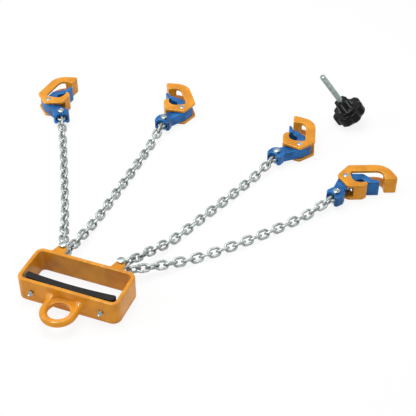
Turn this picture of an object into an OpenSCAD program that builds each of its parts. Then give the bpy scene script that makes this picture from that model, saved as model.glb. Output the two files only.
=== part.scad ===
// Drum lifter for a fork truck or a crane: a cast fork pocket with a lifting eye, four chain legs
// on two lugs, and a cam clamp for a drum's rim at the end of each leg. It lies spread out on a
// floor, with the knob screw that locks it on the fork taken out and set down beside it.
// Millimetres. +Z is up, X runs along the long side of the pocket, the legs lie towards +Y, and the
// origin is the middle of the pocket on the floor.

/* [Fork pocket] */
// Opening of the pocket along X
pocket_w = 174; // [150:1:210]
// Opening of the pocket along Y
pocket_d = 69; // [58:1:85]
// Height of the pocket's walls
pocket_h = 47; // [44:1:60]
// Thickness of the pocket's walls
wall_t = 8; // [7.5:0.5:13]
// Inner corner radius of the pocket
corner_r = 7; // [4:0.5:12]
// Rounding of the cast rims
rim_r = 2.5; // [1:0.25:3.5]

/* [Lifting eye] */
// Hole through the eye
eye_hole_d = 38; // [32:1:46]
// Diameter of the eye's bar
eye_bar_d = 14; // [12:0.5:16]
// From the front wall to the hole
eye_gap = 6; // [5:0.5:8]
// Thickness of the web behind the hole
eye_web_t = 8; // [6:0.5:11]
// Diameter of the bar's flared roots at the wall
eye_root_d = 23; // [17:0.5:28]
// Length of the flared roots
eye_root_l = 8; // [5:0.5:10]

/* [Chain lugs] */
// From an end of the pocket to its lug bolt
lug_inset = 39; // [32:0.5:48]
// From the back wall to a lug bolt
lug_reach = 16; // [14:0.5:20]
// Thickness of each ear
ear_t = 7.5; // [6:0.5:9]
// Radius of an ear's tip
ear_tip_r = 7.5; // [6.5:0.1:7.6]
// Width of an ear at the wall
ear_root_w = 24; // [20:1:30]
// Height from the lower leg's end link to the upper one's
level_step = 13.4; // [13:0.1:15]

/* [Fork pad] */
// Gap from the pad to the ends of the opening
pad_end_gap = 4; // [2:0.5:20]
// Thickness of the rubber pad
pad_t = 13; // [11:0.5:18]
// Gap from the pad to the rims
pad_inset = 2; // [1:0.5:6]
// From an end of the opening to a pad screw
pad_screw_inset = 22; // [16:0.5:40]
// Thread of the pad's screws
pad_screw_d = 5; // [4:0.5:8]
// Rubber left under a screw's head
pad_seat_t = 5; // [3:0.5:8]
// Length of a screw past its nut
pad_screw_tail = 6.5; // [2:0.5:9]

/* [Chain] */
// Wire of a link
wire_d = 5; // [4:0.25:5.5]
// Inner length of a link
link_inner_l = 17.5; // [16:0.25:20]
// Inner width of a link
link_inner_w = 9; // [8.6:0.1:10]
// Slack between two links
link_slack = 0.4; // [0.3:0.05:0.6]
// Play of an end link between its ears
link_play = 1; // [0.8:0.1:1.2]
// Direction of each leg at its lug, from +X
leg_start = [117, 89, 70, 40]; // [0:1:180]
// Direction of each leg at its clamp, from +X
leg_finish = [119.5, 91, 72, 59]; // [0:1:180]
// Turn of each clamp about its fork bolt
clamp_swing = [0, 0, 0, -3.5]; // [-10:0.5:10]

/* [Clamp body] */
// Height of a clamp over both cheeks
clamp_h = 36; // [32:0.5:44]
// Thickness of a cheek
cheek_t = 6.5; // [5:0.5:8]
// Width of the mouth between jaw and hook
mouth_w = 36.3; // [34:0.1:42]
// Depth of the spine behind the window
spine_d = 20; // [16:0.5:24]
// Depth of the hook beside the window
hook_d = 20; // [16:0.5:24]
// Depth of the jaw beside the window
jaw_d = 12; // [9:0.5:14]
// From the pivot to the tip of the hook, across the spine
hook_y = 15; // [12:0.5:17]
// How far the hook's tip stands out
hook_flare = 4.5; // [2:0.5:6]
// Rounding of the hook's tip
hook_tip_r = 4; // [2:0.5:5]
// Cam pivot pin
pivot_d = 11; // [8:0.5:13]
// From the pivot to the end of the cheeks
cheek_end = 16; // [14:0.5:20]
// Rounding of the cheeks at the pivot
cheek_end_r = 7; // [5:0.5:9]
// From the pivot to the end of the spine, along it
spine_end = 4.5; // [2:0.5:8]
// Rounding of the spine's corner
spine_corner_r = 7; // [4:0.5:10]
// How far the jaw reaches back past the pivot
jaw_back = 6; // [3:0.5:9]
// From the pivot to the wall that joins the cheeks at the jaw
jaw_web_x = 11; // [10.5:0.5:14]
// From the pivot to the wall that joins the cheeks at the hook
hook_web_y = -3; // [-6:0.5:0]

/* [Clamp window] */
// Round end of the window at the hook
window_r = 14.3; // [13:0.1:15]
// From the pivot to the middle of that end, along the spine
window_x = 60; // [58:0.5:64]
// From the pivot to the middle of that end, across the spine
window_y = 3.2; // [2:0.1:5]
// Round side of the window at the jaw
heel_r = 16; // [14:0.5:17]
// From the pivot to the middle of that side, along the spine
heel_x = 26; // [24:0.5:28]
// From the pivot to the middle of that side, across the spine
heel_y = 7; // [6:0.5:9]
// Round corner of the window at the pivot
nook_r = 6; // [4:0.5:8]
// From the pivot to the middle of that corner, along the spine
nook_x = 15.7; // [14:0.1:18]

/* [Cam lever] */
// Side play of the lever between the cheeks
lever_play = 0.5; // [0.3:0.1:1]
// Radius of the boss round the pivot
boss_r = 12.5; // [11:0.5:14]
// Radius of the arm's heel behind the pivot
cam_heel_r = 6.5; // [5:0.5:8]
// From the pivot to the middle of the heel
cam_heel_l = 19.5; // [16:0.5:21]
// Radius of the nose arm
elbow_r = 7.5; // [6:0.5:9]
// From the jaw to the middle of the nose arm's elbow
elbow_inset = 5; // [3:0.5:7]
// From the pivot to the middle of the elbow, across the spine
elbow_y = -4; // [-6:0.5:-2]
// Gap from the nose to the jaw
nose_gap = 1; // [0.6:0.1:2]
// Thickness of the nose that closes the mouth
nose_t = 8; // [6:0.5:10]
// Thickness of the nose at its tip
nose_tip_t = 4.5; // [3:0.5:6]
// Length of the nose
nose_l = 23.5; // [16:0.5:25]
// Length of the nose's thinner tip
nose_taper = 8; // [5:0.5:10]
// Gap from the nose to the floor of the clamp
nose_inset = 1; // [0.5:0.25:3]
// From the pivot to the fork's bolt
arm_l = 51; // [50:0.5:60]
// Width of the lever's fork
fork_w = 33; // [32:0.5:36]
// Radius of the arm where it meets the fork
neck_r = 10.5; // [9:0.5:13]
// Reach of the fork past its bolt
fork_reach = 13; // [10:0.5:15]
// Height of the slot in the fork
slot_h = 8; // [6.5:0.25:9]
// Width of the slot in the fork
slot_w = 24.5; // [24:0.25:26]
// Rounding of the fork's corners
fork_corner_r = 5; // [3:0.5:7]
// Radius of the notch between the fork's prongs
notch_r = 10.5; // [8:0.25:11]
// Metal left from the bolt to the notch
notch_wall = 2.8; // [2.5:0.1:5]

/* [Bolts] */
// Thread of the lug and fork bolts
bolt_d = 8; // [6:0.5:8]
// Width across flats of their heads and nuts
bolt_af = 13; // [10:0.5:13]
// Height of their heads
head_h = 5; // [4:0.25:5.5]
// Height of the lug nuts
lug_nut_h = 6.5; // [5:0.25:7]
// Height of the thin nuts under the forks
fork_nut_h = 4.5; // [4:0.25:5]

/* [Knob screw] */
// Diameter of the knob over its lobes
knob_d = 68; // [56:1:80]
// Number of grips scooped out of the rim
knob_grips = 7; // [5:1:9]
// Radius of a grip
grip_r = 12; // [8:0.5:16]
// Depth of a grip
grip_d = 4.5; // [2:0.25:6]
// Radius of the domed back
dome_r = 58; // [48:1:100]
// Thickness of the knob's rim
knob_t = 22; // [12:0.5:26]
// Diameter of the knob's hub
hub_d = 29; // [24:0.5:32]
// Number of ridges on the hub
hub_ridges = 7; // [5:1:14]
// Radius of a ridge
ridge_r = 4.5; // [2:0.25:5]
// Height of the hub over the rim
hub_h = 26; // [14:0.5:30]
// Diameter of the hub's flared foot
hub_foot_d = 44; // [36:0.5:50]
// Height of the flare
hub_foot_h = 6; // [3:0.5:8]
// Thread of the stud
stud_d = 12; // [10:0.5:14]
// Length of stud that shows
stud_l = 75; // [60:1:100]
// Length of stud held in the hub
stud_seat = 14; // [10:0.5:20]
// Place of the middle of the knob's back, along X
knob_x = 313; // [200:1:400]
// Place of the middle of the knob's back, along Y
knob_y = 680; // [650:1:760]
// Lean of the stud from upright
knob_lean = 35.5; // [0:0.5:60]
// Direction of the lean, from +X
knob_turn = 206; // [0:1:360]
// Turn of the grips about the stud
knob_spin = 32; // [0:1:360]
// Distance of the knob screw's hole from the face of the fork pad
lock_reach = 11.5; // [8:0.5:30]
// Height of that hole in the left end wall
lock_z = 15; // [12:0.5:32]

/* [Hidden] */
$fn = 48;
// Radial clearances of a running fit, and of a bolt or screw through a hole
fit = 0.05;
loose = 0.2;
// How far one cast form reaches into another, and a straight side into the round that it meets
root = 3;
tuck = 0.05;

// Links and their spacing along a leg
link_count = 27;
link_r = (link_inner_w + wire_d) / 2;
link_straight = link_inner_l - link_inner_w;
link_step = link_inner_l - link_slack;
// Links that come down from the lug, twist there, climb to the clamp and twist there
drop_links = 7;
drop_twist = 6;
climb_links = 4;
climb_twist = 5;
// Links lie on the floor with each turned half way to the next
lie_roll = 45;
lie_z = link_r * sin(lie_roll) + wire_d / 2;

// Outer faces of the pocket
front_y = -pocket_d / 2 - wall_t;
back_y = pocket_d / 2 + wall_t;
mid_z = pocket_h / 2;
eye_y = front_y - eye_gap - eye_hole_d / 2;
eye_bar_x = (eye_hole_d + eye_bar_d) / 2;
lug_y = back_y + lug_reach;
lug_span = pocket_w + 2 * wall_t - 2 * lug_inset;
// Straight lengths of the walls between the round corners
long_run = pocket_w - 2 * corner_r;
short_run = pocket_d - 2 * corner_r;

// Fork pad and the heads and nuts of its screws
pad_end_x = pocket_w / 2 - pad_end_gap;
pad_face_y = -pocket_d / 2 + pad_t;
pad_corner_r = min(corner_r, 0.4 * pad_t);
lock_y = pad_face_y + lock_reach;
pad_screw_span = pocket_w - 2 * pad_screw_inset;
pad_head_d = 2.2 * pad_screw_d;
pad_head_h = 0.6 * pad_screw_d;
pad_nut_af = 1.6 * pad_screw_d;
pad_nut_h = 0.8 * pad_screw_d;

// Levels of the end links between the ears
upper_z = pocket_h - ear_t - link_play - wire_d / 2;
lower_z = upper_z - level_step;
lower_ear_z = lower_z - wire_d / 2 - link_play - ear_t;
lug_bolt_tail = 2;

// Clamp plan: the pivot is at zero, X runs along the spine to the hook, Y towards the mouth
hook_x = window_x + window_r;
jaw_x = hook_x - mouth_w;
spine_y = window_y - window_r;
spine_back_y = spine_y - spine_d;
jaw_y = heel_y + heel_r;

// Lever plan, in the same frame
lever_t = clamp_h - 2 * cheek_t - 2 * lever_play;
arm_angle = 118;
mouth_angle = 147;
cam_heel_angle = -66;
fork_x = arm_l * cos(arm_angle);
fork_y = arm_l * sin(arm_angle);
fork_r = fork_w / 2;
notch_x = bolt_d / 2 + notch_wall + notch_r;
nose_x = jaw_x + nose_gap;
nose_y = jaw_y + nose_gap / 2;
nose_root_x = nose_x + 1.25 * elbow_r;
nose_root_y = nose_y - nose_t - elbow_r / 3;

// Knob: the dome is below and the stud above
knob_r = knob_d / 2;
dome_h = dome_r - sqrt(dome_r * dome_r - knob_r * knob_r);
rim_z = dome_h + knob_t;
hub_z = rim_z + hub_h;
// How far the lean lifts the middle of the back: the knob rolls on its dome, then stands on its rim
knob_rest = dome_r * sin(knob_lean) <= knob_r ? dome_r * (1 - cos(knob_lean)) :
  knob_r * sin(knob_lean) - dome_h * cos(knob_lean);

// Which links each stretch of a leg holds
stretch_end = [0, 0];
stretch_a = [1, 7];
stretch_b = [8, 13];
stretch_c = [14, 20];
stretch_d = [21, 26];

// Legs 1 and 2 share the left lug, 3 and 4 the right one; 1 and 3 sit on top, 1 and 4 lie turned over
function lug_x(leg) = leg <= 2 ? -lug_span / 2 : lug_span / 2;
function end_z(leg) = leg == 1 || leg == 3 ? upper_z : lower_z;
function turned_over(leg) = leg == 1 || leg == 4;

// Direction, fall and roll of a link, counted from the lug
function link_heading(leg, i) =
  leg_start[leg - 1] + (leg_finish[leg - 1] - leg_start[leg - 1]) * i / (link_count - 1);
function link_slope(leg, i) =
  i >= 1 && i <= drop_links ? -asin((end_z(leg) - lie_z) / (drop_links * link_step)) :
  i >= link_count - 1 - climb_links && i < link_count - 1 ?
    asin((clamp_h / 2 - lie_z) / (climb_links * link_step)) : 0;
function link_twist(i) = min(1, i / drop_twist, (link_count - 1 - i) / climb_twist);
function link_roll(i) = lie_roll * link_twist(i) - 90 * (i % 2);
function link_way(leg, i) =
  let (h = link_heading(leg, i), s = link_slope(leg, i)) [cos(h) * cos(s), sin(h) * cos(s), sin(s)];

// Middle of each link of a leg: the first turns on the lug bolt, and each next one is a step on
function link_middles(leg) = [
  for (
    i = 0, p = [lug_x(leg), lug_y, end_z(leg)] + link_way(leg, 0) * link_straight / 2;
    i < link_count;
    p = p + (link_way(leg, i) + link_way(leg, i + 1)) * link_step / 2, i = i + 1
  ) p
];
function fork_bolt(leg) =
  link_middles(leg)[link_count - 1] + link_way(leg, link_count - 1) * link_straight / 2;
function clamp_heading(leg) =
  leg_finish[leg - 1] + clamp_swing[leg - 1] + 180 + (turned_over(leg) ? mouth_angle : -mouth_angle);

// A round bar from one circle [x, y, r] to the next, with straight sides that run into both
module bar_outline(a, b) {
  run = [b[0] - a[0], b[1] - a[1]];
  turn = atan2(run[1], run[0]);
  lean = acos((a[2] - b[2]) / norm(run));
  for (c = [a, b]) translate([c[0], c[1]]) circle(r = c[2]);
  polygon([
    for (k = [[a, 1], [b, 1], [b, -1], [a, -1]])
      let (c = k[0], way = turn + k[1] * lean) [c[0], c[1]] + (c[2] - tuck) * [cos(way), sin(way)]
  ]);
}

// A closed outline round a row of circles
module round_outline(spots) {
  polygon([for (s = spots) [s[0], s[1]]]);
  for (i = [0:len(spots) - 1]) bar_outline(spots[i], spots[(i + 1) % len(spots)]);
}

// Rectangle with round corners, centred
module round_rect(w, h, r) {
  square([w - 2 * r, h], center = true);
  square([w, h - 2 * r], center = true);
  for (x = [-1, 1], y = [-1, 1]) translate([x * (w / 2 - r), y * (h / 2 - r)]) circle(r = r);
}

module hexagon(af) circle(d = af / cos(30), $fn = 6);

// The section of the pocket's wall, standing on the floor
module wall_section() translate([0, mid_z]) round_rect(wall_t, pocket_h, rim_r);

module long_walls() {
  for (s = [-1, 1]) translate([0, s * (pocket_d + wall_t) / 2, 0])
    rotate([90, 0, 90]) linear_extrude(long_run, center = true) wall_section();
}

// The right end of the pocket: a short wall between two round corners
module pocket_end() {
  translate([(pocket_w + wall_t) / 2, 0, 0])
    rotate([90, 0, 0]) linear_extrude(short_run, center = true) wall_section();
  for (q = [0, 1]) translate([long_run / 2, (1 - 2 * q) * short_run / 2, 0]) rotate([0, 0, -90 * q])
    rotate_extrude(angle = 90) translate([corner_r + wall_t / 2, 0]) wall_section();
}

module ear() {
  linear_extrude(ear_t) round_outline([
    [-ear_root_w / 2 + root, -lug_reach, root],
    [ear_root_w / 2 - root, -lug_reach, root],
    [0, 0, ear_tip_r]
  ]);
}

// Both ears of each lug, with the bolt through them
module lugs() {
  for (s = [-1, 1], z = [lower_ear_z, pocket_h - ear_t])
    translate([s * lug_span / 2, lug_y, z]) ear();
}

// One casting, drawn as three solids that meet face to face: this is the long walls, an end and the lugs
module fork_frame() {
  color([0.95, 0.62, 0.16]) difference() {
    union() {
      long_walls();
      pocket_end();
      lugs();
    }
    for (s = [-1, 1]) {
      translate([s * lug_span / 2, lug_y, lower_ear_z - root])
        cylinder(r = bolt_d / 2 + fit, h = pocket_h);
      translate([s * pad_screw_span / 2, front_y - root, mid_z])
        rotate([-90, 0, 0]) cylinder(r = pad_screw_d / 2 + fit, h = wall_t + 2 * root);
    }
  }
}

// The casting's left end, with the hole that the knob screw goes through
module fork_frame_end() {
  color([0.95, 0.62, 0.16]) difference() {
    rotate([0, 0, 180]) pocket_end();
    translate([-pocket_w / 2 - wall_t - root, lock_y, lock_z])
      rotate([0, 90, 0]) cylinder(r = stud_d / 2 + fit, h = wall_t + 2 * root);
  }
}

// The casting's eye: a bar bent into a U, with flared roots on the front wall and a web behind the hole
module lifting_eye() {
  stem_l = front_y - eye_y;
  color([0.95, 0.62, 0.16]) translate([0, eye_y, mid_z]) {
    rotate([0, 0, 180]) rotate_extrude(angle = 180) translate([eye_bar_x, 0]) circle(d = eye_bar_d);
    for (s = [-1, 1]) translate([s * eye_bar_x, 0, 0]) rotate([-90, 0, 0]) {
      cylinder(d = eye_bar_d, h = stem_l);
      translate([0, 0, stem_l - eye_root_l])
        cylinder(r1 = eye_bar_d / 2, r2 = eye_root_d / 2, h = eye_root_l);
    }
    linear_extrude(eye_web_t, center = true) difference() {
      translate([-eye_bar_x, 0]) square([2 * eye_bar_x, stem_l]);
      circle(d = eye_hole_d);
    }
  }
}

// Screw places of the pad, seen along +Y from the front wall's inner face
module at_pad_screws() {
  for (s = [-1, 1]) translate([s * pad_screw_span / 2, -pocket_d / 2, mid_z]) rotate([-90, 0, 0]) children();
}

// The pad's corners clear the round corners of the pocket
module rubber_pad() {
  wall_x = pad_end_x - pad_corner_r;
  wall_y = -pocket_d / 2 + pad_corner_r;
  face_x = pad_end_x - rim_r;
  face_y = pad_face_y - rim_r;
  color([0.08, 0.08, 0.08]) difference() {
    translate([0, 0, pad_inset]) linear_extrude(pocket_h - 2 * pad_inset) round_outline([
      [-wall_x, wall_y, pad_corner_r],
      [wall_x, wall_y, pad_corner_r],
      [face_x, face_y, rim_r],
      [-face_x, face_y, rim_r]
    ]);
    at_pad_screws() {
      translate([0, 0, -root]) cylinder(r = pad_screw_d / 2 + loose, h = pad_t);
      translate([0, 0, pad_seat_t]) cylinder(r = pad_head_d / 2 + loose, h = pad_t);
    }
  }
}

module pad_screws() {
  color([0.75, 0.77, 0.8]) at_pad_screws() {
    translate([0, 0, pad_seat_t]) cylinder(d = pad_head_d, h = pad_head_h);
    tail = wall_t + pad_nut_h + pad_screw_tail;
    translate([0, 0, -tail]) cylinder(d = pad_screw_d, h = tail + pad_seat_t);
  }
}

module pad_nuts() {
  color([0.75, 0.77, 0.8]) at_pad_screws()
    translate([0, 0, -wall_t - pad_nut_h]) difference() {
      linear_extrude(pad_nut_h) hexagon(pad_nut_af);
      translate([0, 0, -root]) cylinder(r = pad_screw_d / 2 + fit, h = pad_nut_h + 2 * root);
    }
}

module lug_bolts() {
  tail_z = lower_ear_z - lug_nut_h - lug_bolt_tail;
  color([0.75, 0.77, 0.8]) for (s = [-1, 1]) translate([s * lug_span / 2, lug_y, 0]) {
    translate([0, 0, tail_z]) cylinder(d = bolt_d, h = pocket_h - tail_z);
    translate([0, 0, pocket_h]) linear_extrude(head_h) hexagon(bolt_af);
  }
}

module lug_nuts() {
  color([0.75, 0.77, 0.8]) for (s = [-1, 1])
    translate([s * lug_span / 2, lug_y, lower_ear_z - lug_nut_h]) difference() {
      linear_extrude(lug_nut_h) hexagon(bolt_af);
      translate([0, 0, -root]) cylinder(r = bolt_d / 2 + fit, h = lug_nut_h + 2 * root);
    }
}

// One link in the XY plane, its length along X
module chain_link() {
  for (s = [-1, 1]) {
    translate([s * link_straight / 2, 0, 0]) rotate([0, 0, -90 * s])
      rotate_extrude(angle = 180, $fn = 32) translate([link_r, 0]) circle(d = wire_d, $fn = 24);
    translate([-link_straight / 2, s * link_r, 0])
      rotate([0, 90, 0]) cylinder(d = wire_d, h = link_straight, $fn = 24);
  }
}

// The links of a leg from the first to the last that a stretch names
module links(leg, stretch) {
  middles = link_middles(leg);
  color([0.78, 0.8, 0.8]) for (i = [stretch[0]:stretch[1]])
    translate(middles[i]) rotate([0, 0, link_heading(leg, i)]) rotate([0, -link_slope(leg, i), 0])
      rotate([link_roll(i), 0, 0]) chain_link();
}

// Sets a clamp drawn round its pivot at the end of a leg, on one cheek or the other
module at_clamp(leg) {
  bolt = fork_bolt(leg);
  over = turned_over(leg);
  translate([bolt[0], bolt[1], over ? clamp_h : 0]) rotate([over ? 180 : 0, 0, clamp_heading(leg)])
    translate([-fork_x, -fork_y, 0]) children();
}

// Outline of a cheek: a C with a spine, a jaw and a hook
module cheek_outline() {
  hook_r = window_r + hook_d;
  reach = 2 * (jaw_y + jaw_d);
  pivot_end = [cheek_end_r - cheek_end, 0, cheek_end_r];
  difference() {
    union() {
      round_outline([
        [spine_end + spine_corner_r, spine_back_y + spine_corner_r, spine_corner_r],
        [window_x, spine_back_y + hook_r, hook_r],
        [hook_x + hook_d + hook_flare - hook_tip_r, hook_y - hook_tip_r, hook_tip_r],
        pivot_end
      ]);
      round_outline([
        pivot_end,
        [jaw_d - jaw_back, jaw_y, jaw_d],
        [jaw_x - jaw_d, jaw_y, jaw_d],
        [heel_x, heel_y, heel_r + root]
      ]);
    }
    round_outline([
      [nook_x, spine_y + nook_r, nook_r],
      [window_x, window_y, window_r],
      [heel_x, heel_y, heel_r]
    ]);
    translate([jaw_x, window_y]) square([mouth_w, reach]);
    translate([hook_x - root, hook_y]) square([2 * hook_d, reach]);
  }
}

module clamp_body(leg) {
  color([0.95, 0.62, 0.16]) at_clamp(leg) difference() {
    union() {
      for (z = [0, clamp_h - cheek_t]) translate([0, 0, z]) linear_extrude(cheek_t) cheek_outline();
      linear_extrude(clamp_h) intersection() {
        cheek_outline();
        union() {
          translate([window_x, hook_web_y]) square([2 * hook_d + window_r, 2 * hook_y]);
          translate([jaw_web_x, jaw_y - jaw_d / 2]) square([jaw_x - jaw_web_x, 2 * jaw_d]);
        }
      }
    }
    translate([0, 0, -root]) cylinder(r = pivot_d / 2 + fit, h = clamp_h + 2 * root);
  }
}

// Outline of the lever between the cheeks: boss, heel, bent nose arm, and fork arm
module lever_outline() {
  boss = [0, 0, boss_r];
  elbow = [jaw_x - elbow_inset, elbow_y, elbow_r];
  bar_outline(boss, [cam_heel_l * cos(cam_heel_angle), cam_heel_l * sin(cam_heel_angle), cam_heel_r]);
  bar_outline(boss, elbow);
  bar_outline(elbow, [nose_root_x, nose_root_y, elbow_r]);
  bar_outline(boss, [fork_x, fork_y, neck_r]);
  translate([fork_x, fork_y]) rotate(mouth_angle) round_outline([
    [0, 0, fork_r],
    [fork_reach - fork_corner_r, fork_r - fork_corner_r, fork_corner_r],
    [fork_reach - fork_corner_r, -fork_r + fork_corner_r, fork_corner_r]
  ]);
}

module nose_outline() {
  polygon([
    [nose_x, nose_y - nose_t],
    [nose_x, nose_y],
    [nose_x + nose_l, nose_y],
    [nose_x + nose_l, nose_y - nose_tip_t],
    [nose_x + nose_l - nose_taper, nose_y - nose_t]
  ]);
}

// Bell-crank: the chain pulls its fork, and its nose closes the mouth of the clamp
module lever(leg) {
  color([0.15, 0.42, 0.8]) at_clamp(leg) difference() {
    union() {
      translate([0, 0, (clamp_h - lever_t) / 2]) linear_extrude(lever_t) lever_outline();
      translate([0, 0, nose_inset]) linear_extrude(clamp_h - 2 * nose_inset) nose_outline();
    }
    translate([0, 0, -root]) cylinder(r = pivot_d / 2 + fit, h = clamp_h + 2 * root);
    translate([fork_x, fork_y, 0]) rotate([0, 0, mouth_angle]) {
      translate([0, 0, -root]) cylinder(r = bolt_d / 2 + fit, h = clamp_h + 2 * root);
      translate([0, 0, (clamp_h - slot_h) / 2]) linear_extrude(slot_h) {
        circle(d = slot_w);
        translate([0, -slot_w / 2]) square([2 * fork_reach, slot_w]);
      }
      translate([0, 0, -root]) linear_extrude(clamp_h + 2 * root) {
        translate([notch_x, 0]) circle(r = notch_r);
        translate([notch_x, -notch_r]) square([2 * fork_reach, 2 * notch_r]);
      }
    }
  }
}

module lever_bolt(leg) {
  top = (clamp_h + lever_t) / 2;
  bottom = (clamp_h - lever_t) / 2 - fork_nut_h;
  color([0.75, 0.77, 0.8]) at_clamp(leg) translate([fork_x, fork_y, 0]) {
    translate([0, 0, bottom]) cylinder(d = bolt_d, h = top - bottom);
    translate([0, 0, top]) linear_extrude(head_h) hexagon(bolt_af);
  }
}

module lever_nut(leg) {
  color([0.75, 0.77, 0.8]) at_clamp(leg)
    translate([fork_x, fork_y, (clamp_h - lever_t) / 2 - fork_nut_h]) difference() {
      linear_extrude(fork_nut_h) hexagon(bolt_af);
      translate([0, 0, -root]) cylinder(r = bolt_d / 2 + fit, h = fork_nut_h + 2 * root);
    }
}

module pivot_pin(leg) {
  color([0.75, 0.77, 0.8]) at_clamp(leg) cylinder(d = pivot_d, h = clamp_h);
}

// Leans the knob on its back; it is drawn with the middle of its back at zero and the stud up
module at_knob() {
  translate([knob_x, knob_y, knob_rest]) rotate([0, knob_lean, knob_turn])
    rotate([0, 0, knob_spin]) children();
}

// Domed rim with scooped grips, and a ridged hub on a flared foot that holds the stud
module knob_head() {
  color([0.07, 0.07, 0.08]) at_knob() difference() {
    union() {
      intersection() {
        linear_extrude(rim_z) difference() {
          circle(r = knob_r);
          for (i = [0:knob_grips - 1]) rotate(360 * i / knob_grips)
            translate([knob_r + grip_r - grip_d, 0]) circle(r = grip_r);
        }
        translate([0, 0, dome_r]) sphere(r = dome_r);
      }
      translate([0, 0, rim_z]) cylinder(r1 = hub_foot_d / 2, r2 = hub_d / 2 - ridge_r, h = hub_foot_h);
      translate([0, 0, dome_h]) linear_extrude(hub_z - dome_h) {
        circle(d = hub_d - ridge_r);
        for (i = [0:hub_ridges - 1]) rotate(360 * i / hub_ridges)
          translate([hub_d / 2 - ridge_r, 0]) circle(r = ridge_r);
      }
    }
    translate([0, 0, hub_z - stud_seat]) cylinder(r = stud_d / 2 + fit, h = stud_l);
  }
}

module knob_stud() {
  color([0.75, 0.77, 0.8]) at_knob()
    translate([0, 0, hub_z - stud_seat]) cylinder(d = stud_d, h = stud_seat + stud_l);
}

fork_frame();
fork_frame_end();
lifting_eye();
rubber_pad();
pad_screws();
pad_nuts();
lug_bolts();
lug_nuts();
knob_head();
knob_stud();
links(1, stretch_end);  // end_link_1
links(1, stretch_a);  // chain_1_a
links(1, stretch_b);  // chain_1_b
links(1, stretch_c);  // chain_1_c
links(1, stretch_d);  // chain_1_d
lever(1);  // lever_1
lever_bolt(1);  // lever_bolt_1
lever_nut(1);  // lever_nut_1
pivot_pin(1);  // pivot_pin_1
clamp_body(1);  // clamp_body_1
links(2, stretch_end);  // end_link_2
links(2, stretch_a);  // chain_2_a
links(2, stretch_b);  // chain_2_b
links(2, stretch_c);  // chain_2_c
links(2, stretch_d);  // chain_2_d
lever(2);  // lever_2
lever_bolt(2);  // lever_bolt_2
lever_nut(2);  // lever_nut_2
pivot_pin(2);  // pivot_pin_2
clamp_body(2);  // clamp_body_2
links(3, stretch_end);  // end_link_3
links(3, stretch_a);  // chain_3_a
links(3, stretch_b);  // chain_3_b
links(3, stretch_c);  // chain_3_c
links(3, stretch_d);  // chain_3_d
lever(3);  // lever_3
lever_bolt(3);  // lever_bolt_3
lever_nut(3);  // lever_nut_3
pivot_pin(3);  // pivot_pin_3
clamp_body(3);  // clamp_body_3
links(4, stretch_end);  // end_link_4
links(4, stretch_a);  // chain_4_a
links(4, stretch_b);  // chain_4_b
links(4, stretch_c);  // chain_4_c
links(4, stretch_d);  // chain_4_d
lever(4);  // lever_4
lever_bolt(4);  // lever_bolt_4
lever_nut(4);  // lever_nut_4
pivot_pin(4);  // pivot_pin_4
clamp_body(4);  // clamp_body_4
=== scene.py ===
# %% [markdown]
# Drum lifter: from solids to a portrait
#
# This lesson dresses a drum lifter: a cast fork pocket, four chain legs and four rim clamps that lie
# spread out on a white floor. The solids come in already at their real size, each on the body that
# moves it. Here every piece gets the surface that the real one has: castings lose their knife edges,
# chain links get round wire and weld marks, screws get threads, and every finish is made of nodes.

import bmesh
import bpy
import numpy as np
from mathutils import Matrix, Vector


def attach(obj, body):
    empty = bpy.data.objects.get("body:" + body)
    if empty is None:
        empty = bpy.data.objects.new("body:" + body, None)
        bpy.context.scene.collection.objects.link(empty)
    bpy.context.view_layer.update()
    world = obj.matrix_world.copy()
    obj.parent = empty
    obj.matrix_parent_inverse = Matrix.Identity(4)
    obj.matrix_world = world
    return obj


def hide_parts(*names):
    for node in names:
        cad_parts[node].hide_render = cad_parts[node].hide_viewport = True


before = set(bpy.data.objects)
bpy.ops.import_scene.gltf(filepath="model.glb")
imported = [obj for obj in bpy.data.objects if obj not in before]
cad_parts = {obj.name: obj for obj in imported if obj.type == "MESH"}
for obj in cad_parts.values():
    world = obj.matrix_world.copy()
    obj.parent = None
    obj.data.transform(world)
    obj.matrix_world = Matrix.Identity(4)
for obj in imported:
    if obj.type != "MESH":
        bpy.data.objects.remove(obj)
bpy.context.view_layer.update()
scene = bpy.context.scene
MM = 0.001
LEGS = (1, 2, 3, 4)

# %% [markdown]
# The camera
#
# A product photograph is taken with a longer lens from a step away, so that near and far pieces keep
# their proportions. The place and the aim below were found by fitting the pocket's edges and the
# bolts to the picture. The lens follows from the focal length in pixels and the picture's width.

# %% Camera
PICTURE_PX = 416
FOCAL_PX = 951.1
SENSOR_MM = 36.0
CAMERA_AT = Vector((0.6168, -1.0098, 1.1618))
CAMERA_AIM = Vector((0.1241, 0.2997, 0.0))
CAMERA_ROLL = np.radians(0.36)

camera = bpy.data.objects.new("camera", bpy.data.cameras.new("camera"))
scene.collection.objects.link(camera)
camera.data.sensor_width = SENSOR_MM
camera.data.lens = FOCAL_PX / PICTURE_PX * SENSOR_MM
look = (CAMERA_AIM - CAMERA_AT).to_track_quat("-Z", "Y").to_matrix().to_4x4()
camera.matrix_world = Matrix.Translation(CAMERA_AT) @ look @ Matrix.Rotation(CAMERA_ROLL, 4, "Z")
scene.camera = camera
print("lens:", round(camera.data.lens, 1), "mm")

# %% [markdown]
# The studio
#
# The picture has a white floor and almost no shadow, which is what a light tent gives. A white world
# fills every side, one large lamp overhead shows which faces look up, and a weaker one stands at the
# left. A small lamp that hangs high in front is seen only in the gloss, where it draws the highlights.
# The floor mixes a white glow, seen only by the camera and in reflections, with a plain white surface
# that still takes the object's shadow.

# %% Studio
scene.view_settings.view_transform = "Standard"


def node_of(tree, kind, **inputs):
    """A new shader node with the named input sockets set."""
    made = tree.nodes.new(kind)
    for socket, value in inputs.items():
        made.inputs[socket.replace("_", " ")].default_value = value
    return made


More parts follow.
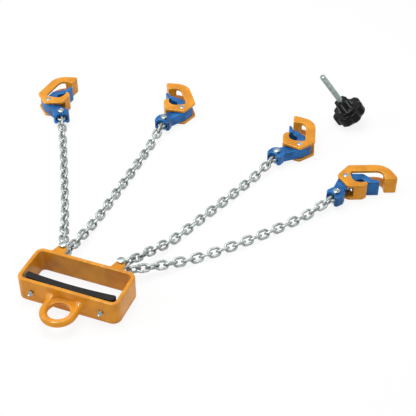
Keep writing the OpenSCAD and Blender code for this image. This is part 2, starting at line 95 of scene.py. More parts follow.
def seen_ray(tree):
    """1 for rays from the camera, from a reflection or through glass, and 0 for light that bounces."""
    path = tree.nodes.new("ShaderNodeLightPath")
    total = path.outputs["Is Camera Ray"]
    for name in ("Is Glossy Ray", "Is Transmission Ray"):
        add = tree.nodes.new("ShaderNodeMath")
        add.operation = "MAXIMUM"
        tree.links.new(total, add.inputs[0])
        tree.links.new(path.outputs[name], add.inputs[1])
        total = add.outputs[0]
    return total


WORLD_LIGHT = 0.46
world = bpy.data.worlds.new("light_tent")
world.use_nodes = True
scene.world = world
sky = world.node_tree
backdrop = sky.nodes["Background"]
strength = node_of(sky, "ShaderNodeMapRange", To_Min=WORLD_LIGHT, To_Max=1.0)
sky.links.new(seen_ray(sky), strength.inputs["Value"])
sky.links.new(strength.outputs["Result"], backdrop.inputs["Strength"])
backdrop.inputs["Color"].default_value = (1.0, 1.0, 1.0, 1.0)


def soft_lamp(name, place, aim, size, watts):
    """A square area lamp at a place, turned to its aim."""
    lamp = bpy.data.objects.new(name, bpy.data.lights.new(name, "AREA"))
    scene.collection.objects.link(lamp)
    lamp.data.size = size
    lamp.data.energy = watts
    turn = (Vector(aim) - Vector(place)).to_track_quat("-Z", "Y").to_matrix().to_4x4()
    lamp.matrix_world = Matrix.Translation(place) @ turn
    return lamp


LAMP_AIM = (0.1, 0.3, 0.0)
soft_lamp("overhead_lamp", place=(-0.15, 0.5, 1.9), aim=LAMP_AIM, size=1.6, watts=29.0)
soft_lamp("left_lamp", place=(-1.6, -0.5, 1.0), aim=(0.0, 0.2, 0.0), size=0.9, watts=11.0)
gloss_lamp = soft_lamp("gloss_lamp", place=(-0.3, -0.8, 1.8), aim=LAMP_AIM, size=0.7, watts=36.0)
gloss_lamp.visible_diffuse = False

FLOOR_HALF = 6.0
FLOOR_WHITE = (0.9, 0.9, 0.9, 1.0)
FLOOR_ROUGHNESS = 0.9
GLOW_SHARE = 0.86
corners = np.array([[-1, -1, 0], [1, -1, 0], [1, 1, 0], [-1, 1, 0]]) * FLOOR_HALF
floor_mesh = bpy.data.meshes.new("floor")
floor_mesh.from_pydata(corners.tolist(), [], [[0, 1, 2, 3]])
floor = bpy.data.objects.new("floor", floor_mesh)
scene.collection.objects.link(floor)

white = bpy.data.materials.new("white_floor")
white.use_nodes = True
tree = white.node_tree
matt = tree.nodes["Principled BSDF"]
matt.inputs["Base Color"].default_value = FLOOR_WHITE
matt.inputs["Roughness"].default_value = FLOOR_ROUGHNESS
glow = node_of(tree, "ShaderNodeEmission", Strength=1.0)
share = tree.nodes.new("ShaderNodeMath")
share.operation = "MULTIPLY"
share.inputs[1].default_value = GLOW_SHARE
tree.links.new(seen_ray(tree), share.inputs[0])
blend = tree.nodes.new("ShaderNodeMixShader")
tree.links.new(share.outputs[0], blend.inputs["Fac"])
tree.links.new(matt.outputs["BSDF"], blend.inputs[1])
tree.links.new(glow.outputs["Emission"], blend.inputs[2])
tree.links.new(blend.outputs["Shader"], tree.nodes["Material Output"].inputs["Surface"])
floor_mesh.materials.append(white)
print("studio: a world, three lamps and a floor")

# %% [markdown]
# Paint
#
# Each finish starts from one Principled shader. Powder coat over a casting is never one flat colour:
# it is darker in some patches than in others, and it carries the grain of the sand mould. Along
# edges it is painted a lighter tone, partly for the thinner paint there and partly as a painted
# highlight that stands in for the light caught by rounded rims. A picture could carry that, but it
# would need a seam. Noise on Object coordinates gives it at a size set in metres, and the castings
# bring an attribute that says where an edge is.

# %% Shader helpers


def finish(name, **inputs):
    """A new material with its shader, tree and Object coordinates, and plain values for its sockets."""
    material = bpy.data.materials.new(name)
    material.use_nodes = True
    shader = material.node_tree.nodes["Principled BSDF"]
    for socket, value in inputs.items():
        shader.inputs[socket.replace("_", " ")].default_value = value
    where = material.node_tree.nodes.new("ShaderNodeTexCoord").outputs["Object"]
    return material, material.node_tree, shader, where


def noise(tree, where, size, detail=3.0):
    """Noise from 0 to 1 whose patches are about one size across, in metres."""
    made = node_of(tree, "ShaderNodeTexNoise", Scale=1.0 / size, Detail=detail)
    tree.links.new(where, made.inputs["Vector"])
    return made.outputs["Fac"]


def ramp(tree, value, stops):
    """Colours between stops of (position, colour), by a value."""
    made = tree.nodes.new("ShaderNodeValToRGB")
    elements = made.color_ramp.elements
    while len(elements) < len(stops):
        elements.new(0.5)
    for element, (position, colour) in zip(elements, stops):
        element.position = position
        element.color = (*colour, 1.0)
    tree.links.new(value, made.inputs["Fac"])
    return made.outputs["Color"]


def spread(tree, value, low, high):
    """A value from 0 to 1, spread from low to high."""
    made = node_of(tree, "ShaderNodeMapRange", To_Min=low, To_Max=high)
    tree.links.new(value, made.inputs["Value"])
    return made.outputs["Result"]


def bump(tree, shader, layers):
    """Bumps one on the other, each a (height, strength, depth in metres)."""
    last = None
    for height, strength, depth in layers:
        made = node_of(tree, "ShaderNodeBump", Strength=strength, Distance=depth)
        tree.links.new(height, made.inputs["Height"])
        if last:
            tree.links.new(last, made.inputs["Normal"])
        last = made.outputs["Normal"]
    tree.links.new(last, shader.inputs["Normal"])


def tinted(tree, colour, attribute, reach, tint):
    """A colour that turns towards a tint where a piece's attribute is high. The reach is the attribute's
    values at which the tint starts and is full, and the share of the tint there."""
    mark = tree.nodes.new("ShaderNodeAttribute")
    mark.attribute_name = attribute
    first, full, share = reach
    amount = node_of(tree, "ShaderNodeMapRange", From_Min=first, From_Max=full, To_Max=share)
    tree.links.new(mark.outputs["Fac"], amount.inputs["Value"])
    mixed = tree.nodes.new("ShaderNodeMix")
    mixed.data_type = "RGBA"
    tree.links.new(amount.outputs["Result"], mixed.inputs["Factor"])
    tree.links.new(colour, mixed.inputs["A"])
    mixed.inputs["B"].default_value = (*tint, 1.0)
    return mixed.outputs["Result"]


print("shader helpers are ready")

# %% Powder coat on castings
# The lighter edge tone is partly thinner paint and partly a painted highlight along rounded rims.
EDGE_REACH = (0.15, 0.8, 0.75)


def powder_coat(name, deep, body, edge):
    """Powder coat on sand casting: three tones by patch and edge, with orange peel over mould grain.
    The lighter edge tone is partly thinner paint and partly a painted highlight.
    """
    material, tree, shader, where = finish(
        name, Specular_IOR_Level=0.08, Coat_Weight=0.32, Coat_Roughness=0.13)
    patches = ramp(tree, noise(tree, where, 30 * MM), [(0.3, deep), (0.65, body)])
    tree.links.new(tinted(tree, patches, "edge", EDGE_REACH, edge), shader.inputs["Base Color"])
    gloss = spread(tree, noise(tree, where, 12 * MM), low=0.26, high=0.44)
    tree.links.new(gloss, shader.inputs["Roughness"])
    grain = noise(tree, where, 4 * MM, detail=5.0)
    peel = noise(tree, where, 1.2 * MM, detail=2.0)
    bump(tree, shader, [(grain, 0.2, 0.6 * MM), (peel, 0.15, 0.2 * MM)])
    return material


# The third colour of each paint is its lighter edge tone, partly a painted highlight.
orange_paint = powder_coat("orange_paint", (0.6, 0.215, 0.008), (0.78, 0.32, 0.018), (0.97, 0.54, 0.09))
blue_paint = powder_coat("blue_paint", (0.003, 0.05, 0.17), (0.009, 0.165, 0.5), (0.07, 0.38, 0.85))
print("paints:", orange_paint.name, blue_paint.name)

# %% [markdown]
# Plate, rubber and plastic
#
# The chain and the bolts are zinc plated, a clear grey metal whose tone and gloss wander. The pad is
# moulded rubber, near black under a pale bloom. The knob is moulded plastic, with a painted highlight
# along the ridges of its hub. All of them are noise again, for the same reason, at finer sizes than
# the paint's; the knob brings an attribute that says where a ridge is, for that painted highlight.

# %% Zinc, rubber and knob plastic


def zinc_plate(name, low, high, dull, marks=0.25):
    """Zinc plate on steel: a clear grey metal with cloudy tone, wandering gloss and fine handling marks,
    whose strength is given."""
    material, tree, shader, where = finish(name, Metallic=1.0)
    tone = ramp(tree, noise(tree, where, 6 * MM, detail=4.0), [(0.3, low), (0.7, high)])
    tree.links.new(tone, shader.inputs["Base Color"])
    tree.links.new(spread(tree, noise(tree, where, 3 * MM), *dull), shader.inputs["Roughness"])
    bump(tree, shader, [(noise(tree, where, 1.6 * MM), marks, 0.3 * MM)])
    return material


chain_zinc = zinc_plate("chain_zinc", (0.2, 0.225, 0.218), (0.46, 0.495, 0.485), (0.38, 0.58))
bolt_zinc = zinc_plate("bolt_zinc", (0.2, 0.24, 0.26), (0.48, 0.54, 0.55), (0.2, 0.36))
stud_zinc = zinc_plate("stud_zinc", (0.26, 0.32, 0.32), (0.42, 0.49, 0.48), (0.16, 0.24), marks=0.06)
RUBBER, BLOOM = (0.003, 0.003, 0.003), (0.012, 0.011, 0.01)
# The last of these colours is a painted highlight along the crests of the hub's ridges.
PLASTIC, FLOW_MARK, RIDGE_HIGHLIGHT = (0.002, 0.002, 0.002), (0.006, 0.006, 0.006), (0.2, 0.21, 0.21)
CREST_REACH = (0.3, 1.0, 0.8)


def pad_rubber():
    """Moulded rubber: near black, with a pale bloom in patches and a fine tooth."""
    material, tree, shader, where = finish("pad_rubber", Specular_IOR_Level=0.2)
    tone = ramp(tree, noise(tree, where, 20 * MM, detail=5.0), [(0.35, RUBBER), (0.8, BLOOM)])
    tree.links.new(tone, shader.inputs["Base Color"])
    gloss = spread(tree, noise(tree, where, 4 * MM), low=0.55, high=0.8)
    tree.links.new(gloss, shader.inputs["Roughness"])
    bump(tree, shader, [(noise(tree, where, 1 * MM, detail=4.0), 0.5, 0.3 * MM)])
    return material


def knob_plastic():
    """Moulded black plastic: glossy, with faint flow marks, a little haze and a painted highlight along
    the ridges.
    """
    material, tree, shader, where = finish(
        "knob_plastic", Specular_IOR_Level=0.1, Coat_Weight=0.06, Coat_Roughness=0.2)
    tone = ramp(tree, noise(tree, where, 15 * MM), [(0.3, PLASTIC), (0.8, FLOW_MARK)])
    tree.links.new(tinted(tree, tone, "crest", CREST_REACH, RIDGE_HIGHLIGHT), shader.inputs["Base Color"])
    gloss = spread(tree, noise(tree, where, 8 * MM), low=0.16, high=0.32)
    tree.links.new(gloss, shader.inputs["Roughness"])
    bump(tree, shader, [(noise(tree, where, 2 * MM, detail=2.0), 0.15, 0.2 * MM)])
    return material


pad_black = pad_rubber()
knob_black = knob_plastic()
print("finishes:", [m.name for m in bpy.data.materials])

# %% [markdown]
# Castings
#
# The pocket, the clamps and the levers are sand castings. A casting has no sharp edge: the mould's
# corners are rounded and every inner corner has a fillet. One way to get that is to bevel each edge
# by hand. Here the solid is wrapped in an even net of small squares instead, and the net is relaxed:
# each point moves towards the mean of its neighbours, so edges round off and corners fill, as molten
# metal does. How far a point sank says how sharp the edge there was; the paint uses it for a lighter
# edge tone that is partly thinner paint and partly a painted highlight.

# %% Relaxed skins
SKIN_STEP = 0.9 * MM
RELAX_ROUNDS = 9
CLAMP_ROUNDS = 14
RELAX_SHARE = 0.5
JOIN_WITHIN = 0.001 * MM


def merged_copy(nodes):
    """A mesh with the same shape as some solids together, with their loose triangles joined."""
    mesh = bpy.data.meshes.new("merged")
    work = bmesh.new()
    for node in nodes:
        work.from_mesh(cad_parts[node].data)
    bmesh.ops.remove_doubles(work, verts=work.verts, dist=JOIN_WITHIN)
    work.to_mesh(mesh)
    work.free()
    return mesh


def even_net(mesh, step):
    """The mesh wrapped in quads about one step wide, by a voxel remesh."""
    rough = bpy.data.objects.new("net", mesh)
    scene.collection.objects.link(rough)
    wrap = rough.modifiers.new("net", "REMESH")
    wrap.mode = "VOXEL"
    wrap.voxel_size = step
    wrapped = rough.evaluated_get(bpy.context.evaluated_depsgraph_get())
    made = bpy.data.meshes.new_from_object(wrapped)
    bpy.data.objects.remove(rough)
    return made


def read_points(mesh):
    """The mesh's points as an array of rows."""
    flat = np.empty(3 * len(mesh.vertices))
    mesh.vertices.foreach_get("co", flat)
    return flat.reshape(-1, 3)


def relax(points, edges, rounds):
    """Moves every point part of the way to the mean of its neighbours, again and again."""
    count = np.bincount(edges.ravel(), minlength=len(points))[:, None]
    for _ in range(rounds):
        total = np.zeros_like(points)
        np.add.at(total, edges[:, 0], points[edges[:, 1]])
        np.add.at(total, edges[:, 1], points[edges[:, 0]])
        points = points + RELAX_SHARE * (total / count - points)
    return points


def place_piece(name, mesh, material, body, nodes):
    """Puts a mesh in the scene as a piece that rides on a body and stands for some solids."""
    piece = bpy.data.objects.new(name, mesh)
    scene.collection.objects.link(piece)
    mesh.materials.clear()
    mesh.materials.append(material)
    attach(piece, body)
    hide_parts(*nodes)
    return piece


def cast_skin(nodes, material, body, rounds=RELAX_ROUNDS):
    """A relaxed skin over some solids, with an attribute 'edge': how far a point sank, over the step."""
    mesh = even_net(merged_copy(nodes), SKIN_STEP)
    points = read_points(mesh)
    edges = np.empty(2 * len(mesh.edges), dtype=np.int64)
    mesh.edges.foreach_get("vertices", edges)
    soft = relax(points, edges.reshape(-1, 2), rounds)
    normals = np.empty(3 * len(points))
    mesh.vertices.foreach_get("normal", normals)
    sunk = np.einsum("ij,ij->i", points - soft, normals.reshape(-1, 3)) / SKIN_STEP
    mesh.vertices.foreach_set("co", soft.ravel())
    mesh.attributes.new("edge", "FLOAT", "POINT").data.foreach_set("value", sunk)
    mesh.shade_smooth()
    mesh.update()
    return place_piece(f"{nodes[0]}_cast", mesh, material, body, nodes)


print("skins have squares of", SKIN_STEP / MM, "mm")

# %% Pocket, clamps and levers
pocket = ["fork_frame", "fork_frame_end", "lifting_eye"]
castings = [cast_skin(pocket, orange_paint, "frame")]
for leg in LEGS:
    clamp, lever = f"leg_{leg}_clamp", f"leg_{leg}_lever"
    castings.append(cast_skin([f"clamp_body_{leg}"], orange_paint, clamp, CLAMP_ROUNDS))
    castings.append(cast_skin([f"lever_{leg}"], blue_paint, lever))
print("castings:", {piece.name: len(piece.data.polygons) for piece in castings})

# %% [markdown]
# Chain links
#
# A link is a bent piece of round wire whose ends are butt welded in the middle of one side, which
# leaves a small bead. It could be bent from a curve object; here it is one sweep: a circle carried
# round a path of two straights and two half circles. Its wire is a hair thinner than the solid's, so
# that links stay apart where the chain bends. Where each link lies is read from the solids: the points
# of one link are longest along the link, next across it and least through the wire.

# %% One link
WIRE_R = 2.44 * MM
LINK_R = 7.0 * MM
LINK_STRAIGHT = 8.5 * MM
WELD_RISE = 0.06
WELD_LENGTH = 1.6 * MM
ALONG, AROUND = 56, 14


def grid_quads(rows, columns, closed_rows=True):
    """Quads between neighbours of a grid whose columns close up, and whose rows may."""
    r = np.arange(rows if closed_rows else rows - 1)[:, None]
    c = np.arange(columns)[None, :]
    r_next = (r + 1) % rows
    c_next = (c + 1) % columns
    quads = [r * columns + c, r * columns + c_next, r_next * columns + c_next, r_next * columns + c]
    return np.stack(np.broadcast_arrays(*quads), axis=-1).reshape(-1, 4)


def link_surface():
    """A circle of wire carried round a stadium: at a share of the path, the middle of the wire is on a
    straight or on a half circle, and its radius grows by a bell curve at the weld."""
    half_turn = np.pi * LINK_R
    length = 2 * (LINK_STRAIGHT + half_turn)
    s = np.linspace(0.0, length, ALONG, endpoint=False)
    on_top = s < LINK_STRAIGHT
    on_left = (s >= LINK_STRAIGHT) & (s < LINK_STRAIGHT + half_turn)
    on_base = (s >= LINK_STRAIGHT + half_turn) & (s < 2 * LINK_STRAIGHT + half_turn)
    bend_left = np.pi / 2 + (s - LINK_STRAIGHT) / LINK_R
    bend_right = -np.pi / 2 + (s - 2 * LINK_STRAIGHT - half_turn) / LINK_R
    angle = np.select([on_top, on_left, on_base], [np.pi / 2, bend_left, -np.pi / 2], bend_right)
    half = LINK_STRAIGHT / 2
    base_x = s - LINK_STRAIGHT - half_turn - half
    centre_x = np.select([on_top, on_left, on_base], [half - s, -half, base_x], half)
    out = np.stack([np.cos(angle), np.sin(angle), np.zeros(ALONG)], axis=1)
    middle = out * LINK_R + np.stack([centre_x, np.zeros(ALONG), np.zeros(ALONG)], axis=1)
    weld = np.where(on_top, np.exp(-((centre_x / WELD_LENGTH) ** 2)), 0.0)
    radius = WIRE_R * (1 + WELD_RISE * weld)
    turn = np.linspace(0.0, 2 * np.pi, AROUND, endpoint=False)
    ring = out[:, None] * np.cos(turn)[:, None] + np.array([0.0, 0.0, 1.0]) * np.sin(turn)[:, None]
    return (middle[:, None] + radius[:, None, None] * ring).reshape(-1, 3)


LINK_POINTS = link_surface()
LINK_QUADS = grid_quads(ALONG, AROUND)
print("one link:", len(LINK_POINTS), "points")

# %% Where the links lie
SAME_POINT = 0.0001 * MM


def separate_solids(mesh):
    """The points of each closed solid in a mesh: equal corners are joined, then every corner takes the
    lowest label of its triangle until no label changes."""
    mesh.calc_loop_triangles()
    triangles = np.empty(3 * len(mesh.loop_triangles), dtype=np.int64)
    mesh.loop_triangles.foreach_get("vertices", triangles)
    rounded = np.round(read_points(mesh) / SAME_POINT).astype(np.int64)
    points, same = np.unique(rounded, axis=0, return_inverse=True)
    triangles = same.ravel()[triangles].reshape(-1, 3)
    labels = np.arange(len(points))
    while True:
        lowest = labels.copy()
        np.minimum.at(lowest, triangles.ravel(), np.repeat(labels[triangles].min(axis=1), 3))
        lowest = lowest[lowest]
        if np.array_equal(lowest, labels):
            break
        labels = lowest
    return [points[labels == label] * SAME_POINT for label in np.unique(labels)]


def own_frame(points):
    """The middle and the long, wide and thin directions of a set of points, by their spread."""
    spread_ways = np.linalg.eigh(np.cov((points - points.mean(axis=0)).T))[1][:, ::-1]
    spread_ways[:, 2] = np.cross(spread_ways[:, 0], spread_ways[:, 1])
    local = points @ spread_ways
    return spread_ways @ ((local.min(axis=0) + local.max(axis=0)) / 2), spread_ways


def mesh_from(name, points, quads, sharp_deg):
    """A mesh from points and quads, with its doubles merged, faces outward and sharp edges kept sharp."""
    mesh = bpy.data.meshes.new(name)
    mesh.from_pydata(points.tolist(), [], quads.tolist())
    work = bmesh.new()
    work.from_mesh(mesh)
    bmesh.ops.remove_doubles(work, verts=work.verts, dist=JOIN_WITHIN)
    bmesh.ops.recalc_face_normals(work, faces=work.faces)
    work.to_mesh(mesh)
    work.free()
    mesh.shade_smooth()
    mesh.set_sharp_from_angle(angle=np.radians(sharp_deg))
    return mesh


def chain_piece(node, body):
    """All the links of one solid's stretch of chain, each swept where its solid lies."""
    placed = [own_frame(solid) for solid in separate_solids(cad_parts[node].data)]
    points = np.concatenate([LINK_POINTS @ ways.T + middle for middle, ways in placed])
    offsets = np.arange(len(placed))[:, None, None] * len(LINK_POINTS)
    quads = (LINK_QUADS[None] + offsets).reshape(-1, 4)
    mesh = mesh_from(f"{node}_wire", points, quads, sharp_deg=80)
    place_piece(f"{node}_wire", mesh, chain_zinc, body, [node])
    return len(placed)


links = 0
for leg in LEGS:
    links += chain_piece(f"end_link_{leg}", f"leg_{leg}_end")
    for stretch in "abcd":
        links += chain_piece(f"chain_{leg}_{stretch}", f"leg_{leg}_chain_{stretch}")
print("links:", links)

# %% [markdown]
# Bolts, nuts and pins
#
# A bolt is a turned piece: one profile spun about its axis. Its head is a hexagon whose corners are
# cut off by a cone, so the same spin makes it when the radius is held to the hexagon's own radius at
# each angle. A thread is a spin as well, with a radius that goes up and down once for each pitch and
# slips by one pitch in each turn. Where each bolt stands, and how its hexagon is turned, is read from
# its solid.

# %% Turned surfaces
COLUMNS = 48


def turned(profile, flats=None, corner=0.0, thread=None):
    """Points of a profile spun about Z. Each row of the profile is a radius and a height. The radius is
    held to a hexagon's, half its flats over the cosine of the angle from the middle of a side. A thread
    (pitch, depth, low, high) lowers the radius by a triangle wave of height over pitch less the turn."""
    radius, height = np.array(profile).T[:, :, None]
    turn = np.linspace(0.0, 2 * np.pi, COLUMNS, endpoint=False)[None, :]
    radius = np.broadcast_to(radius, (len(profile), COLUMNS))
    if flats:
        from_side = np.mod(turn - corner, np.pi / 3) - np.pi / 6
        radius = np.minimum(radius, flats / 2 / np.cos(from_side))
    if thread:
        pitch, depth, low, high = thread
        wave = np.abs(2 * np.mod(height / pitch - turn / (2 * np.pi), 1.0) - 1)
        fade = np.clip(np.minimum(height - low, high - height) / pitch, 0.0, 1.0)
        radius = radius - depth * wave * fade
    rows = [radius * np.cos(turn), radius * np.sin(turn), np.broadcast_to(height, radius.shape)]
    return np.stack(rows, axis=-1).reshape(-1, 3)


def stand(points, up):
    """How a turned solid stands: its three directions with Z along 'up', its middle line at height zero
    along them, its lowest and highest heights, and the angle of its farthest point."""
    up = np.array(up, dtype=float)
    side = np.cross(up, [0.0, 1.0, 0.0] if abs(up[2]) > 0.5 else [0.0, 0.0, 1.0])
    side /= np.linalg.norm(side)
    ways = np.stack([side, np.cross(up, side), up], axis=1)
    local = points @ ways
    low, high = local.min(axis=0), local.max(axis=0)
    middle = np.array([*((low + high) / 2)[:2], 0.0])
    far = (local - middle)[np.argmax(np.hypot(*(local - middle).T[:2]))]
    return ways, middle, low[2], high[2], np.arctan2(far[1], far[0])


def turned_piece(name, node, body, up, shape, material, slot, closed=False):
    """One piece for all the solids of a node, each spun where its solid stands."""
    sets = []
    for solid in separate_solids(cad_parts[node].data):
        ways, middle, low, high, corner = stand(solid, up)
        sets.append((shape(low, high, corner) + middle) @ ways.T)
    points = np.concatenate(sets)
    quads = grid_quads(len(sets[0]) // COLUMNS, COLUMNS, closed)
    offsets = np.arange(len(sets))[:, None, None] * len(sets[0])
    mesh = mesh_from(name, points, (quads[None] + offsets).reshape(-1, 4), sharp_deg=35)
    return place_piece(name, mesh, material, body, [node])


print("turned pieces have", COLUMNS, "columns")

# %% Shapes of bolts, nuts and pins
BOLT_R = 4.0 * MM
BOLT_PITCH = 1.25 * MM
BOLT_FLATS = 13.0 * MM
HEAD_HEIGHT = 5.0 * MM
LUG_TAIL = 12.0 * MM
FORK_TAIL = 6.0 * MM
CHAMFER = 0.7 * MM
FACE_SHARE, CONE_DEG, CONE_ROWS = 0.43, 30, 6
BORE_GAP = 0.05 * MM
THREAD_SHARE = 0.61
ROWS_PER_PITCH = 8
PIN_R = 5.5 * MM
PIN_CROWN = 0.3 * MM
CROWN_BEND = 0.6


def threaded_end(radius, pitch, low, length):
    """Profile rows of a thread's end: a pole, a chamfer, and rows close enough to carry the thread."""
    count = int(ROWS_PER_PITCH * length / pitch)
    heights = np.linspace(low + CHAMFER, low + length, count)
    return [(0.0, low), (radius - CHAMFER, low), *[(radius, h) for h in heights]]


def hex_top(flats, bottom, top):
    """Profile rows of a hexagon from its side to its top face, with its corners cut by a cone."""
    reach = flats / np.sqrt(3)
    radii = np.linspace(reach, FACE_SHARE * flats, CONE_ROWS)
    heights = top - (radii - radii[-1]) * np.tan(np.radians(CONE_DEG))
    return [(reach, bottom), *zip(radii, heights)]


def hex_bolt(tail):
    """A bolt with its head up and a thread on the last stretch of its shank."""
    def shape(low, high, corner):
        neck = high - HEAD_HEIGHT
        rows = threaded_end(BOLT_R, BOLT_PITCH, low, tail) + [(BOLT_R, neck)]
        rows += hex_top(BOLT_FLATS, neck, high) + [(0.0, high)]
        thread = (BOLT_PITCH, THREAD_SHARE * BOLT_PITCH, low, low + tail)
        return turned(rows, BOLT_FLATS, corner, thread)
    return shape


def hex_nut(flats, bore):
    """A nut: a ring from the bore, over a cut hexagon on both faces, and back through the bore."""
    def shape(low, high, corner):
        middle = (low + high) / 2
        top = hex_top(flats, middle, high)
        base = [(r, low + high - h) for r, h in reversed(top)]
        cut = CHAMFER / 2
        rows = [(bore, low + cut), (bore + cut, low), *base]
        rows += [*top[1:], (bore + cut, high), (bore, high - cut)]
        return turned(rows, flats, corner)
    return shape


def plain_pin(low, high, _corner):
    """A pin with a small chamfer and a slightly crowned end, the same at both ends."""
    shoulder = low + PIN_CROWN
    rows = [(0.0, low), (CROWN_BEND * PIN_R, low + PIN_CROWN / 3)]
    rows += [(PIN_R - CHAMFER, shoulder), (PIN_R, shoulder + CHAMFER)]
    rows += [(r, low + high - h) for r, h in reversed(rows)]
    return turned(rows)


print("bolt thread:", int(LUG_TAIL / BOLT_PITCH), "turns on a lug bolt")

# %% Bolts, nuts and pins
UP, DOWN, FORWARD = (0.0, 0.0, 1.0), (0.0, 0.0, -1.0), (0.0, 1.0, 0.0)
LYING_OVER = (1, 4)
steel = (bolt_zinc, "zinc_steel")
turned_piece("lug_bolts_hex", "lug_bolts", "frame", UP, hex_bolt(LUG_TAIL), *steel)
bolt_nut = hex_nut(BOLT_FLATS, BOLT_R + BORE_GAP)
turned_piece("lug_nuts_hex", "lug_nuts", "frame", UP, bolt_nut, *steel, closed=True)
for leg in LEGS:
    lever, clamp = f"leg_{leg}_lever", f"leg_{leg}_clamp"
    up = DOWN if leg in LYING_OVER else UP
    turned_piece(f"lever_bolt_{leg}_hex", f"lever_bolt_{leg}", lever, up, hex_bolt(FORK_TAIL), *steel)
    turned_piece(f"lever_nut_{leg}_hex", f"lever_nut_{leg}", lever, up, bolt_nut, *steel, closed=True)
    turned_piece(f"pivot_pin_{leg}_end", f"pivot_pin_{leg}", clamp, UP, plain_pin, *steel)
print("bolts:", 2 + len(LEGS), "nuts:", 2 + len(LEGS), "pins:", len(LEGS))

# %% [markdown]
# The rubber pad
#
# The pad is a moulded bar that two screws pull against the front wall. Its ends spring away a little,
# so it is not quite straight. It is wrapped and relaxed as the castings are, with fewer rounds, and
# then bent: each point moves away from the wall by the square of its distance from the middle.

# %% Pad and its screws
PAD_ROUNDS = 4
PAD_BOW = 4.0 * MM
PAD_SCREW_R = 2.5 * MM
PAD_SCREW_PITCH = 0.8 * MM
PAD_SCREW_TAIL = 14.0 * MM
PAD_HEAD_R = 5.5 * MM
PAD_HEAD_H = 3.0 * MM
PAD_DOME_H = 1.8 * MM
PAD_NUT_FLATS = 8.0 * MM

pad = cast_skin(["rubber_pad"], pad_black, "frame", PAD_ROUNDS)
points = read_points(pad.data)
half_length = np.abs(points[:, 0]).max()
points[:, 1] += PAD_BOW * (points[:, 0] / half_length) ** 2
pad.data.vertices.foreach_set("co", points.ravel())
pad.data.update()


def pad_screw(low, high, _corner):
    """A screw with a domed head: the dome's radius falls as the cosine while it rises as the sine."""
    neck = high - PAD_HEAD_H
    rise = np.linspace(0.0, np.pi / 2, 7)
    dome = zip(PAD_HEAD_R * np.cos(rise), high - PAD_DOME_H * (1 - np.sin(rise)))
    rows = threaded_end(PAD_SCREW_R, PAD_SCREW_PITCH, low, PAD_SCREW_TAIL)
    rows += [(PAD_SCREW_R, neck), (PAD_HEAD_R, neck), *dome]
    thread = (PAD_SCREW_PITCH, THREAD_SHARE * PAD_SCREW_PITCH, low, low + PAD_SCREW_TAIL)
    return turned(rows, thread=thread)


pad_nut = hex_nut(PAD_NUT_FLATS, PAD_SCREW_R + BORE_GAP)
turned_piece("pad_screws_round", "pad_screws", "frame", FORWARD, pad_screw, *steel)
turned_piece("pad_nuts_hex", "pad_nuts", "frame", FORWARD, pad_nut, *steel, closed=True)
print("pad:", len(pad.data.polygons), "faces, ends", PAD_BOW / MM, "mm off the wall")

# %% [markdown]
# The knob screw
#
# The knob is one moulding: a domed disc with shallow grips scooped out of its rim, and a ridged hub
# that holds the stud. Every ring of it is a circle whose radius is drawn in at the grips or between
# the ridges, so it is a spin with a wavy radius. The stud gives the axis that both are spun about.

# %% Knob's sizes and place
KNOB_R = 34.0 * MM
DOME_R = 58.0 * MM
RIM_HEIGHT = 22.0 * MM
HUB_R = 14.5 * MM
HUB_HEIGHT = 26.0 * MM
FLARE_R, FLARE_HEIGHT = 21.0 * MM, 6.0 * MM
GRIPS, GRIP_DEPTH, GRIP_HALF_WIDTH = 7, 4.5 * MM, np.radians(18)
RIDGES, RIDGE_DEPTH, CREST_POWER = 7, 2.3 * MM, 12
KNOB_SPIN = np.radians(32)
GRIP_FROM, GRIP_FADE = 0.72 * KNOB_R, 0.2 * KNOB_R
SOFT_EDGE, RIM_EDGE = 2.5 * MM, 4.0 * MM
DOME_STOP = KNOB_R - 1.6 * SOFT_EDGE
SEAT_RIM, SEAT_GAP, SEAT_DEPTH = 1.2 * MM, 0.3 * MM, 1.0 * MM
STUD_R = 6.0 * MM
STUD_PITCH, STUD_THREAD = 1.75 * MM, 0.42 * MM
STUD_SEAT = 14.0 * MM
KNOB_COLUMNS = 180

stud_points = np.concatenate(separate_solids(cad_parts["knob_stud"].data))
stud_axis = own_frame(stud_points)[1][:, 0]
stud_axis = stud_axis * np.sign(stud_axis[2])
downhill = np.array([*stud_axis[:2], 0.0]) / np.hypot(*stud_axis[:2])
knob_x = downhill * stud_axis[2] - np.array([0.0, 0.0, np.hypot(*stud_axis[:2])])
knob_ways = np.stack([knob_x, np.cross(stud_axis, knob_x), stud_axis], axis=1)
stud_local = stud_points @ knob_ways
dome_height = DOME_R - np.sqrt(DOME_R**2 - KNOB_R**2)
rim_top = dome_height + RIM_HEIGHT
hub_top = rim_top + HUB_HEIGHT
knob_middle = (stud_local.min(axis=0) + stud_local.max(axis=0)) / 2
knob_middle[2] = stud_local[:, 2].min() + STUD_SEAT - hub_top
print("knob leans", round(float(np.degrees(np.arccos(stud_axis[2])))), "degrees")

# %% Knob and stud surfaces


def quarter(middle_r, middle_h, radius, first, last, count=7):
    """Rows on an arc: its middle, its radius, and the angles of its ends from the outward direction."""
    angle = np.radians(np.linspace(first, last, count))
    return np.stack([middle_r + radius * np.cos(angle), middle_h + radius * np.sin(angle)], axis=1)


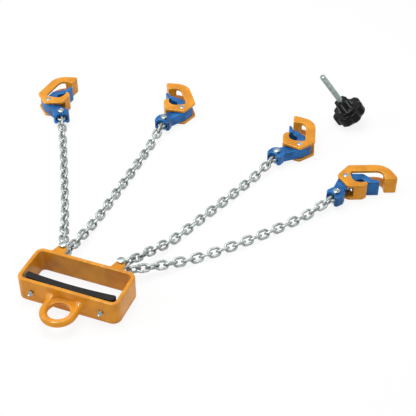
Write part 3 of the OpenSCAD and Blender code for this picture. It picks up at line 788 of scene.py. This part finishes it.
def knob_surface():
    """Rings from the foot of the dome to the top of the hub, whose flare rises by the square of the way
    in. A ring's radius is its own, less the grips' scoop by a raised cosine on the rim's rings, less
    the valleys between ridges on the hub's rings."""
    dome_r = np.linspace(0.0, DOME_STOP, 16)
    dome = np.stack([dome_r, DOME_R - np.sqrt(DOME_R**2 - dome_r**2)], axis=1)
    inner = KNOB_R - SOFT_EDGE
    side = np.concatenate([
        quarter(inner, dome_height + SOFT_EDGE, SOFT_EDGE, -60, 0),
        quarter(KNOB_R - RIM_EDGE, rim_top - RIM_EDGE, RIM_EDGE, 0, 90)])
    inwards = np.linspace(0.0, 1.0, 8)
    foot = np.stack([FLARE_R + (HUB_R - FLARE_R) * inwards, rim_top + FLARE_HEIGHT * inwards**2], axis=1)
    seat = hub_top - SEAT_DEPTH
    crown = np.concatenate([
        quarter(HUB_R - SOFT_EDGE, hub_top - SOFT_EDGE, SOFT_EDGE, 0, 90),
        [[STUD_R + SEAT_RIM, hub_top], [STUD_R + SEAT_GAP, seat], [0.0, seat]]])
    rings = np.concatenate([dome, side, foot, crown])
    turn = np.linspace(0.0, 2 * np.pi, KNOB_COLUMNS, endpoint=False)
    from_grip = np.mod(turn - KNOB_SPIN + np.pi / GRIPS, 2 * np.pi / GRIPS) - np.pi / GRIPS
    scoop = GRIP_DEPTH * (1 + np.cos(np.pi * np.clip(from_grip / GRIP_HALF_WIDTH, -1, 1))) / 2
    valley = RIDGE_DEPTH * (1 - np.abs(np.cos(RIDGES * (turn - KNOB_SPIN) / 2)))
    on_rim = np.clip((rings[:, 0] - GRIP_FROM) / GRIP_FADE, 0, 1)[:, None]
    up_hub = np.clip((rings[:, 1] - rim_top) / FLARE_HEIGHT, 0, 1)
    on_hub = (up_hub * np.clip((rings[:, 0] - STUD_R) / (HUB_R - STUD_R), 0, 1))[:, None]
    radius = rings[:, :1] - on_rim * scoop - on_hub * valley
    height = np.broadcast_to(rings[:, 1:], radius.shape)
    points = np.stack([radius * np.cos(turn), radius * np.sin(turn), height], axis=-1)
    return points.reshape(-1, 3), len(rings)


def stud_surface():
    """A stud that is threaded over its whole length."""
    low, high = stud_local[:, 2].min(), stud_local[:, 2].max()
    rows = threaded_end(STUD_R, STUD_PITCH, low, high - low - CHAMFER)
    rows += [(STUD_R - CHAMFER, high), (0.0, high)]
    return turned(rows, thread=(STUD_PITCH, STUD_THREAD, low, high)), len(rows)


knob_points, knob_rings = knob_surface()
stud_rows, stud_rings = stud_surface()
print("rings:", knob_rings, "in the knob and", stud_rings, "in the stud")

# %% Knob and stud
knob_mesh = mesh_from("knob_head_moulded", (knob_points + knob_middle) @ knob_ways.T,
                      grid_quads(knob_rings, KNOB_COLUMNS, closed_rows=False), sharp_deg=50)
across, along, height = (read_points(knob_mesh) @ knob_ways - knob_middle).T
# The crest attribute marks the hub's ridge crests, where the painted highlight goes.
on_ridge = np.abs(np.cos(RIDGES * (np.arctan2(along, across) - KNOB_SPIN) / 2)) ** CREST_POWER
on_hub = (height > rim_top + FLARE_HEIGHT / 2) & (height < hub_top - SOFT_EDGE / 2)
knob_mesh.attributes.new("crest", "FLOAT", "POINT").data.foreach_set("value", on_ridge * on_hub)
place_piece("knob_head_moulded", knob_mesh, knob_black, "knob", ["knob_head"])
stud_shift = np.array([*knob_middle[:2], 0.0])
stud_mesh = mesh_from("knob_stud_threaded", (stud_rows + stud_shift) @ knob_ways.T,
                      grid_quads(stud_rings, COLUMNS, closed_rows=False), sharp_deg=60)
place_piece("knob_stud_threaded", stud_mesh, stud_zinc, "knob", ["knob_stud"])
print("knob:", len(knob_mesh.polygons), "faces, stud:", len(stud_mesh.polygons), "faces")
